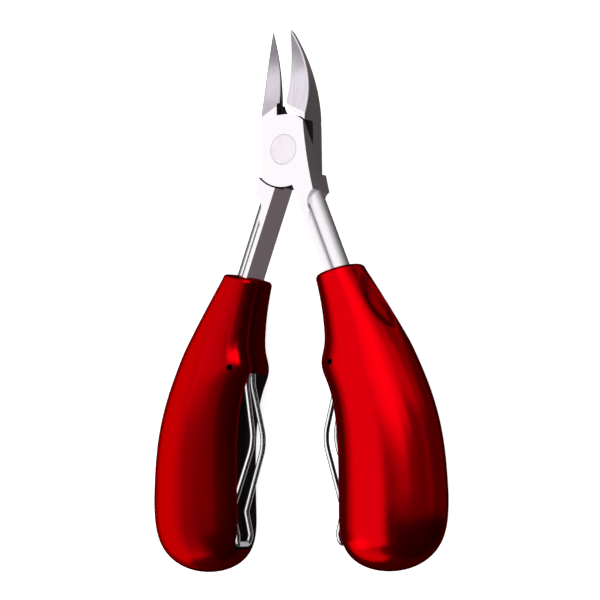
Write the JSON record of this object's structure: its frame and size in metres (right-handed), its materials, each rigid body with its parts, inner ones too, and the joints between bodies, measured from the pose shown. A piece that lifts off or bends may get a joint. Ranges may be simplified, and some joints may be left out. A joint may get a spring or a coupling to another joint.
{
  "type": "toenail nipper",
  "caption": "Plier-type toenail nipper: lap-jointed steel jaws on a flush rivet, plump red moulded handles, hinged wire springs.",
  "frame": {"origin": "where the pivot axis meets the rear joint face", "axes": "+Z along the pivot axis out of the front joint face, +Y towards the jaw tips, +X towards the right handle"},
  "size_m": [0.1024, 0.1642, 0.0208],
  "materials": {
    "polished_steel": "polished flats and shoulders, ground and brushed jaw bevels",
    "rivet_steel": "ground flush and polished with the joint",
    "red_plastic": "high-gloss metallic red",
    "spring_wire": "bright drawn wire",
    "pin_steel": "plain cut ends, below the surface"
  },
  "bodies": {
    "front_side": {"front_half": "polished_steel", "pivot_rivet": "rivet_steel", "right_handle": "red_plastic", "right_spring_pin": "pin_steel"},
    "rear_side": {"rear_half": "polished_steel", "left_handle": "red_plastic", "left_spring_pin": "pin_steel"},
    "right_spring": {"right_spring": "spring_wire"},
    "left_spring": {"left_spring": "spring_wire"}
  },
  "joints": [
    {"name": "pivot", "type": "hinge", "parent": "front_side", "child": "rear_side", "pos_m": [0, 0, 0.0049], "axis": [0, 0, 1], "range_deg": [0, 9.2]},
    {"name": "right_spring_swing", "type": "hinge", "parent": "front_side", "child": "right_spring", "pos_m": [0.0178, -0.0658, 0.0049], "axis": [0, 0, -1], "range_deg": [-2.6, 3.4]},
    {"name": "left_spring_swing", "type": "hinge", "parent": "rear_side", "child": "left_spring", "pos_m": [-0.0178, -0.0658, 0.0049], "axis": [0, 0, 1], "range_deg": [0, 6]}
  ]
}
